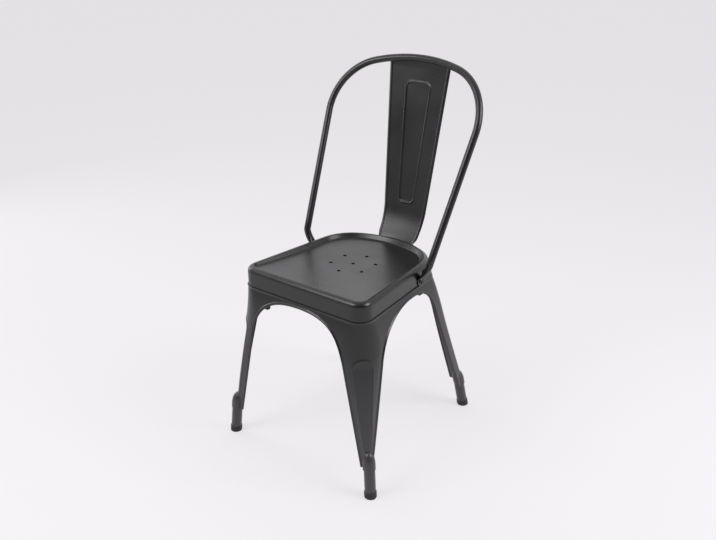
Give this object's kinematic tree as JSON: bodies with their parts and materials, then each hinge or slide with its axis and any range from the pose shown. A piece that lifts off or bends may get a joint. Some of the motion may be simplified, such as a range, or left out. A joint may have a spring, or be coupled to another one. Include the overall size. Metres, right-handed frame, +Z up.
{
  "type": "metal dining chair",
  "caption": "Stacking metal bistro chair with a raised-rim seat pan, flared sheet legs, a bent tube back hoop and a tapered pressed splat.",
  "frame": {"origin": "on the floor under the middle of the whole chair's bounding box", "axes": "+Z up, -Y the side a sitter faces, +X the right side as seen by someone standing in front"},
  "size_m": [0.4362, 0.4755, 0.849],
  "materials": {
    "powder_coat": "satin black powder coat",
    "foot_rubber": "matt moulded rubber",
    "bumper_rubber": "matt moulded rubber",
    "fastener_black": "black coated steel"
  },
  "bodies": {
    "root": {"seat_pan": "powder_coat", "front_left_leg": "powder_coat", "front_right_leg": "powder_coat", "rear_left_leg": "powder_coat", "rear_right_leg": "powder_coat", "front_left_foot_tube": "powder_coat", "front_right_foot_tube": "powder_coat", "rear_left_foot_tube": "powder_coat", "rear_right_foot_tube": "powder_coat", "front_left_glide": "foot_rubber", "front_right_glide": "foot_rubber", "rear_left_glide": "foot_rubber", "rear_right_glide": "foot_rubber", "cross_brace_a": "powder_coat", "cross_brace_b": "powder_coat", "brace_rivet": "fastener_black", "front_left_bumper": "bumper_rubber", "front_right_bumper": "bumper_rubber", "side_left_bumper": "bumper_rubber", "side_right_bumper": "bumper_rubber", "back_hoop": "powder_coat", "back_splat": "powder_coat", "side_bolts": "fastener_black", "side_nuts": "fastener_black", "splat_bolts": "fastener_black", "splat_nuts": "fastener_black"}
  },
  "joints": []
}
